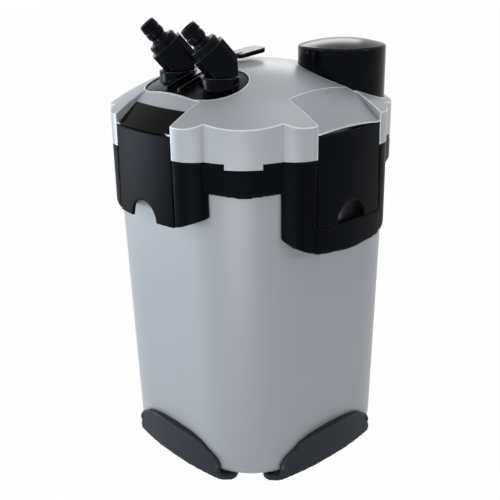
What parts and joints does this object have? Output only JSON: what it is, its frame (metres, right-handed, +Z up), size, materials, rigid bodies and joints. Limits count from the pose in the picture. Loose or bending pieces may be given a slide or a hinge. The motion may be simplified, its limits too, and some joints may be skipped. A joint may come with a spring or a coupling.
{
  "type": "aquarium canister filter",
  "caption": "Upright canister filter with a clamped motor head, swivelling hose elbows, a valve lever and a push primer.",
  "frame": {"origin": "middle of the footprint, on the floor", "axes": "+Z up; the hose elbows, the valve lever and the badge plate are towards -Y; +X to the right seen from the front"},
  "size_m": [0.262, 0.2606, 0.423],
  "materials": {
    "canister_grey": "satin metallic light grey",
    "satin_black": "satin black, fine grain",
    "badge_black": "gloss black",
    "foot_charcoal": "dark charcoal, matt",
    "seal_rubber": "matt black",
    "pin_steel": "bright drawn",
    "tray_black": "matt black",
    "basket_grey": "matt dark grey",
    "core_steel": "stacked laminations",
    "coil_copper": "lacquered wire",
    "magnet_ferrite": "dark ferrite",
    "shaft_ceramic": "polished white",
    "impeller_white": "satin off-white",
    "foam_blue": "open-cell foam",
    "pad_white": "fibre floss",
    "carbon_black": "net bag of granules",
    "ring_clay": "unglazed",
    "ball_blue": "matt blue"
  },
  "bodies": {
    "canister": {"canister_body": "canister_grey", "canister_collar": "satin_black", "foot_front": "foot_charcoal", "foot_right": "foot_charcoal", "foot_back": "foot_charcoal", "foot_left": "foot_charcoal", "head_base": "tray_black", "head_seal": "seal_rubber", "lid_cover": "canister_grey", "badge_plate": "badge_black", "lid_screws": "pin_steel", "clamp_hinge_pins": "pin_steel", "valve_block": "satin_black", "valve_end_caps": "tray_black", "elbow_retainers": "satin_black", "primer_cylinder": "tray_black", "primer_spring": "pin_steel", "motor_housing": "tray_black", "stator_core": "core_steel", "stator_coils": "coil_copper", "impeller_shaft": "shaft_ceramic", "bush_upper": "seal_rubber", "bush_lower": "seal_rubber", "pump_volute": "tray_black", "impeller_cover": "tray_black", "volute_screws": "pin_steel", "intake_duct": "basket_grey", "basket_1": "basket_grey", "basket_2": "basket_grey", "basket_3": "basket_grey", "basket_4": "basket_grey", "basket_grid": "basket_grey", "coarse_foam": "foam_blue", "ceramic_rings": "ring_clay", "bio_balls": "ball_blue", "carbon_pack": "carbon_black", "polishing_pad": "pad_white", "cord_gland": "seal_rubber"},
    "clamp_front": {"clamp_front": "satin_black"},
    "clamp_right": {"clamp_right": "satin_black"},
    "clamp_back": {"clamp_back": "satin_black"},
    "clamp_left": {"clamp_left": "satin_black"},
    "valve_lever": {"valve_lever": "satin_black", "valve_shaft": "pin_steel", "valve_plug_in": "tray_black", "valve_plug_out": "tray_black"},
    "hose_elbow_in": {"elbow_in": "satin_black", "elbow_seal_in": "seal_rubber"},
    "hose_elbow_out": {"elbow_out": "satin_black", "elbow_seal_out": "seal_rubber"},
    "primer": {"primer_cap": "satin_black", "primer_piston": "tray_black", "primer_piston_seal": "seal_rubber"},
    "rotor": {"rotor_magnet": "magnet_ferrite", "impeller": "impeller_white"}
  },
  "joints": [
    {"name": "clamp_front_hinge", "type": "hinge", "parent": "canister", "child": "clamp_front", "pos_m": [0, -0.1195, 0.318], "axis": [-1, 0, 0], "range_deg": [0, 55]},
    {"name": "clamp_right_hinge", "type": "hinge", "parent": "canister", "child": "clamp_right", "pos_m": [0.1195, 0, 0.318], "axis": [0, -1, 0], "range_deg": [0, 55]},
    {"name": "clamp_back_hinge", "type": "hinge", "parent": "canister", "child": "clamp_back", "pos_m": [0, 0.1195, 0.318], "axis": [1, 0, 0], "range_deg": [0, 55]},
    {"name": "clamp_left_hinge", "type": "hinge", "parent": "canister", "child": "clamp_left", "pos_m": [-0.1195, 0, 0.318], "axis": [0, 1, 0], "range_deg": [0, 55]},
    {"name": "valve_lever_hinge", "type": "hinge", "parent": "canister", "child": "valve_lever", "pos_m": [0, -0.062, 0.336], "axis": [1, 0, 0], "range_deg": [0, 45]},
    {"name": "hose_elbow_in_swivel", "type": "hinge", "parent": "canister", "child": "hose_elbow_in", "pos_m": [-0.0295, -0.062, 0.376], "axis": [0, 0, 1], "range_deg": [-57, 33]},
    {"name": "hose_elbow_out_swivel", "type": "hinge", "parent": "canister", "child": "hose_elbow_out", "pos_m": [0.0295, -0.062, 0.376], "axis": [0, 0, 1], "range_deg": [0, 123]},
    {"name": "primer_push", "type": "slide", "parent": "canister", "child": "primer", "axis": [0, 0, -1], "range_m": [0, 0.018], "stiffness_N_per_m": 400, "springref_m": -0.012, "deforming": ["primer_spring"]},
    {"name": "rotor_spin", "type": "hinge", "parent": "canister", "child": "rotor", "pos_m": [-0.038, 0.034, 0.29], "axis": [0, 0, 1], "continuous": true}
  ]
}
